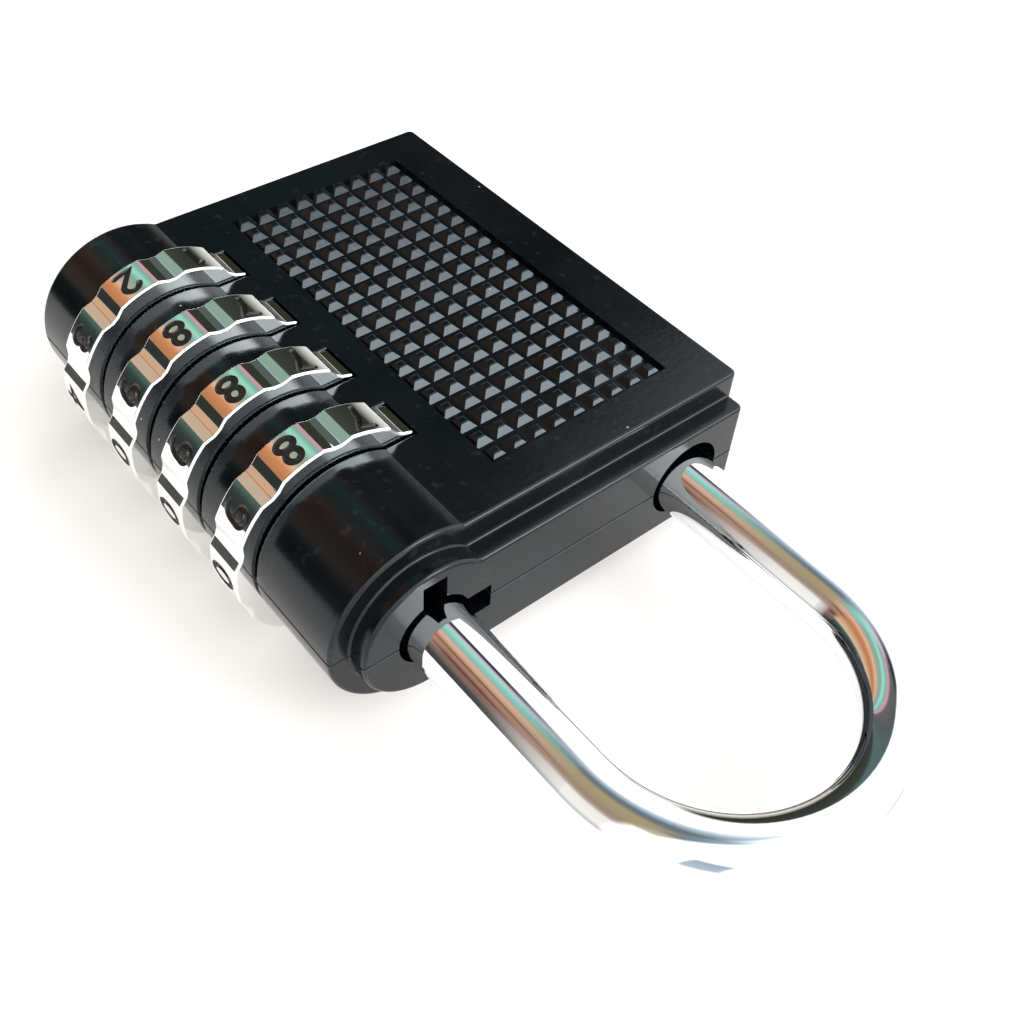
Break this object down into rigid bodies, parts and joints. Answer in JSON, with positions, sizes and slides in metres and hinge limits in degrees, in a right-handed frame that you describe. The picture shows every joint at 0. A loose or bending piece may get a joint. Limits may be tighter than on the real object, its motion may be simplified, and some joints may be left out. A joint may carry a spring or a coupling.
{
  "type": "luggage combination padlock",
  "caption": "Luggage padlock: flat painted case with diamond-knurled faces, number dials in a barrel along one edge, and a round chrome shackle.",
  "frame": {"origin": "where the barrel axis, which is also the long shackle leg's axis, meets the flat base face, on the parting line of the two half shells", "axes": "+Y along the barrel from the base to the shackle, +X out of the barrel through the dials, +Z out of the front face; the lock lies on its back"},
  "size_m": [0.0416, 0.078, 0.019],
  "materials": {
    "case_paint": "black satin paint on die-cast zinc",
    "rivet_paint": "black painted rivet ends, flush with the back face",
    "shackle_chrome": "bright chrome plate on hardened steel",
    "dial_chrome": "bright chrome plate with black numbers cut in",
    "sleeve_brass": "plain turned brass",
    "spring_steel": "plain spring steel and zinc-plated steel"
  },
  "bodies": {
    "casing": {"front_cover": "case_paint", "back_cover": "case_paint", "casing_rivets": "rivet_paint", "locating_pins": "spring_steel", "guide_pin": "spring_steel", "upper_washer": "spring_steel", "detent_spring": "spring_steel", "lift_spring": "spring_steel", "reset_spring": "spring_steel"},
    "shackle": {"shackle": "shackle_chrome", "lift_plunger": "spring_steel"},
    "lower_washer": {"lower_washer": "spring_steel"},
    "dial_1": {"dial_1": "dial_chrome"},
    "sleeve_1": {"clutch_sleeve_1": "sleeve_brass"},
    "dial_2": {"dial_2": "dial_chrome"},
    "sleeve_2": {"clutch_sleeve_2": "sleeve_brass"},
    "dial_3": {"dial_3": "dial_chrome"},
    "sleeve_3": {"clutch_sleeve_3": "sleeve_brass"},
    "dial_4": {"dial_4": "dial_chrome"},
    "sleeve_4": {"clutch_sleeve_4": "sleeve_brass"}
  },
  "joints": [
    {"name": "shackle_pull", "type": "slide", "parent": "casing", "child": "shackle", "axis": [0, 1, 0], "range_m": [0, 0.006], "deforming": ["lift_spring"]},
    {"name": "dial_1_turn", "type": "hinge", "parent": "casing", "child": "dial_1", "pos_m": [0, 0.0091, 0], "axis": [0, 1, 0], "continuous": true},
    {"name": "dial_2_turn", "type": "hinge", "parent": "casing", "child": "dial_2", "pos_m": [0, 0.0171, 0], "axis": [0, 1, 0], "continuous": true},
    {"name": "dial_3_turn", "type": "hinge", "parent": "casing", "child": "dial_3", "pos_m": [0, 0.0251, 0], "axis": [0, 1, 0], "continuous": true},
    {"name": "dial_4_turn", "type": "hinge", "parent": "casing", "child": "dial_4", "pos_m": [0, 0.0331, 0], "axis": [0, 1, 0], "continuous": true},
    {"name": "sleeve_1_reset", "type": "slide", "parent": "dial_1", "child": "sleeve_1", "axis": [0, -1, 0], "range_m": [0, 0.0015], "stiffness_N_per_m": 400, "springref_m": -0.002},
    {"name": "sleeve_2_reset", "type": "slide", "parent": "dial_2", "child": "sleeve_2", "axis": [0, -1, 0], "range_m": [0, 0.0015]},
    {"name": "sleeve_3_reset", "type": "slide", "parent": "dial_3", "child": "sleeve_3", "axis": [0, -1, 0], "range_m": [0, 0.0015]},
    {"name": "sleeve_4_reset", "type": "slide", "parent": "dial_4", "child": "sleeve_4", "axis": [0, -1, 0], "range_m": [0, 0.0015]},
    {"name": "lower_washer_reset", "type": "slide", "parent": "casing", "child": "lower_washer", "axis": [0, -1, 0], "range_m": [0, 0.0015], "deforming": ["reset_spring"]}
  ],
  "couplings": [
    {"joint": "sleeve_2_reset", "follows": "sleeve_1_reset", "ratio": 1},
    {"joint": "sleeve_3_reset", "follows": "sleeve_1_reset", "ratio": 1},
    {"joint": "sleeve_4_reset", "follows": "sleeve_1_reset", "ratio": 1},
    {"joint": "lower_washer_reset", "follows": "sleeve_1_reset", "ratio": 1}
  ]
}
